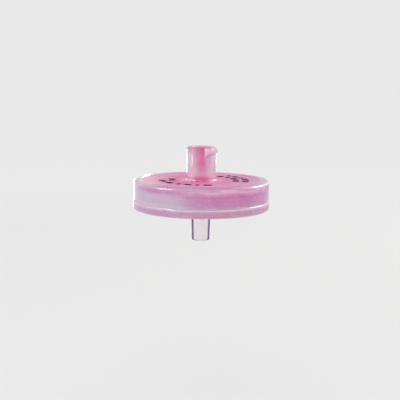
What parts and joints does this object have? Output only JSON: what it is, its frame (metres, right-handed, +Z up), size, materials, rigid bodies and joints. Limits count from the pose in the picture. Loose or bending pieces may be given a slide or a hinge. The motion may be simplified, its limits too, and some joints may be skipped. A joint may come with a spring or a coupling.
{
  "type": "syringe filter",
  "caption": "Disposable syringe filter: translucent round housing with a Luer-lock inlet hub, a Luer-slip outlet nozzle and a clamped stack of depth filters and a membrane.",
  "frame": {"origin": "centre of the Luer inlet's mouth, where the syringe tip enters", "axes": "+Z up along the flow axis, out of the inlet towards the syringe; the flow runs along -Z; -Y is the side shown in the front view"},
  "size_m": [0.03, 0.03, 0.0207],
  "materials": {
    "inlet_plastic": "satin, translucent, stained pink by the sample",
    "outlet_plastic": "satin, translucent",
    "screen_plastic": "satin",
    "glass_fibre": "matte fibre, wet with pink sample",
    "membrane_film": "matte film",
    "print_ink": "matte dark ink"
  },
  "bodies": {
    "root": {"inlet_housing": "inlet_plastic", "outlet_housing": "outlet_plastic", "inlet_screen": "screen_plastic", "coarse_prefilter": "glass_fibre", "medium_prefilter": "glass_fibre", "fine_prefilter": "glass_fibre", "membrane": "membrane_film", "outlet_screen": "screen_plastic"}
  },
  "joints": []
}
